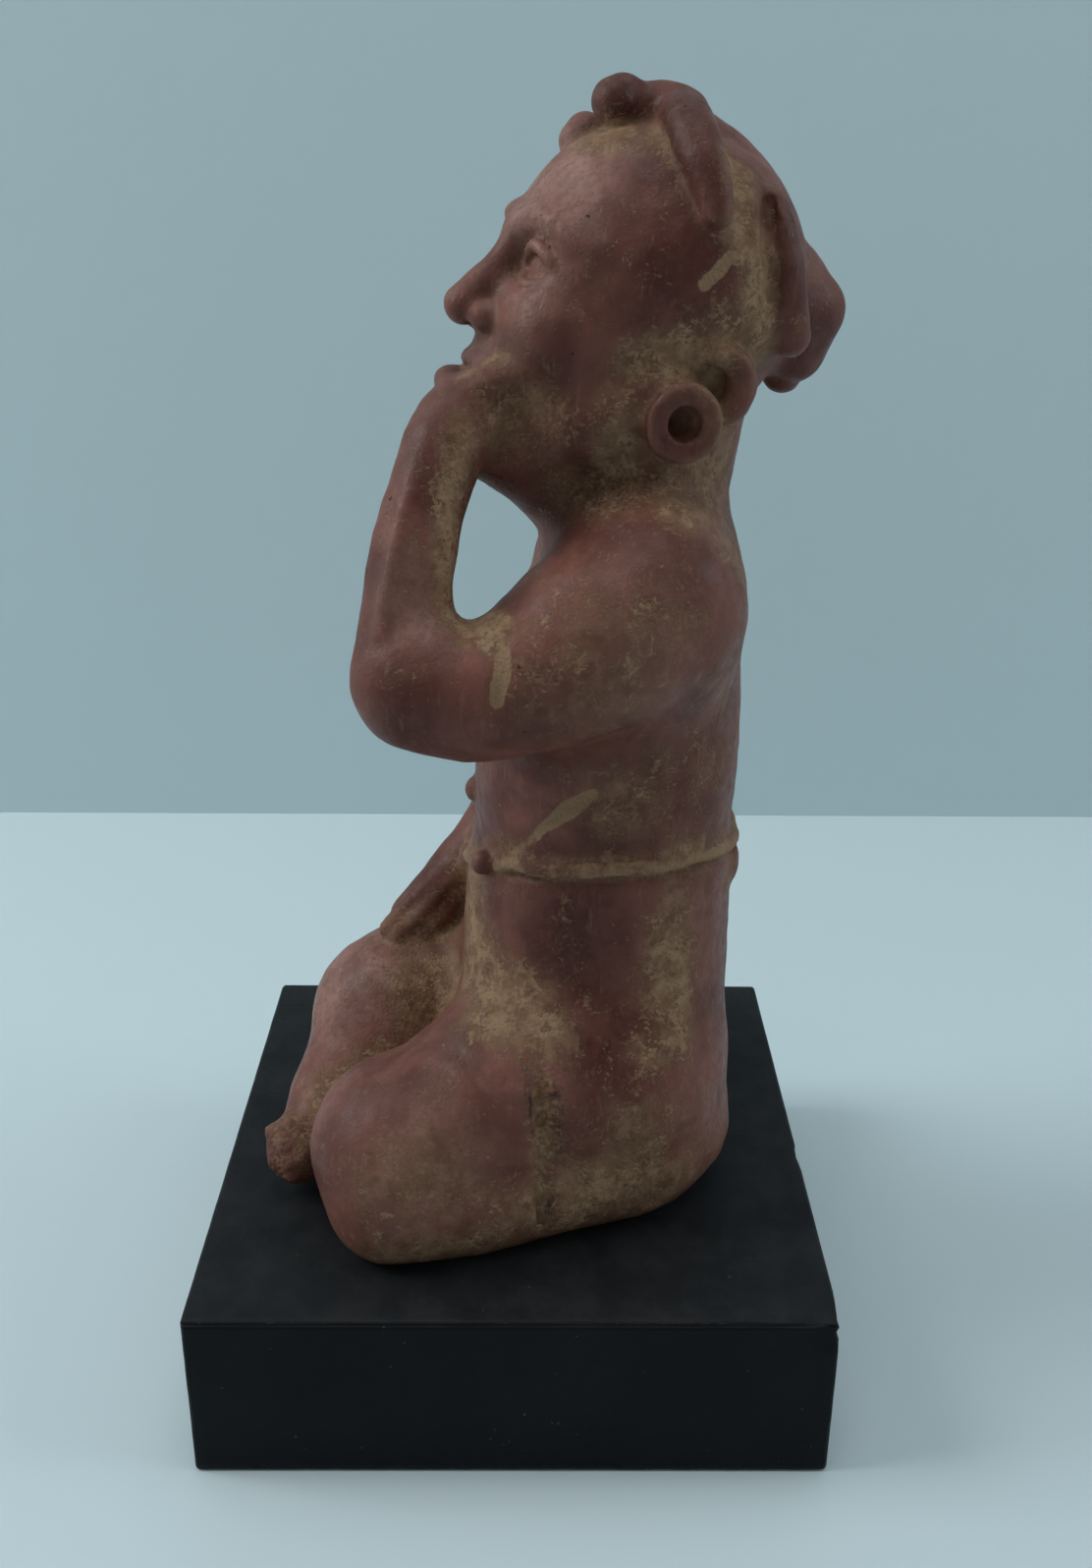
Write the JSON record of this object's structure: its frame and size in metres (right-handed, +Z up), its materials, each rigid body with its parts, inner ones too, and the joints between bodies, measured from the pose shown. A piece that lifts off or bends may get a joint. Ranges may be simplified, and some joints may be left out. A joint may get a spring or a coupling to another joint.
{
  "type": "clay portrait figurine",
  "caption": "Seated figure hand-modelled in red-slipped clay, one hand at the chin and the other on a raised knee, on a black wooden block.",
  "frame": {"origin": "centre of the wooden block's underside", "axes": "+Z up, -Y the way the figure faces, +X the figure's left, which is the side that the picture shows"},
  "size_m": [0.095, 0.095, 0.1925],
  "materials": {
    "red_slip_clay": "burnished dark red slip, semi-gloss, worn through to ochre clay in the creases and on the flanks, with fine pits, scratches and dark specks",
    "black_painted_wood": "satin black paint over fine wood grain, edges a little worn, with dust specks"
  },
  "bodies": {
    "root": {"figurine": "red_slip_clay", "wood_base": "black_painted_wood"}
  },
  "joints": []
}
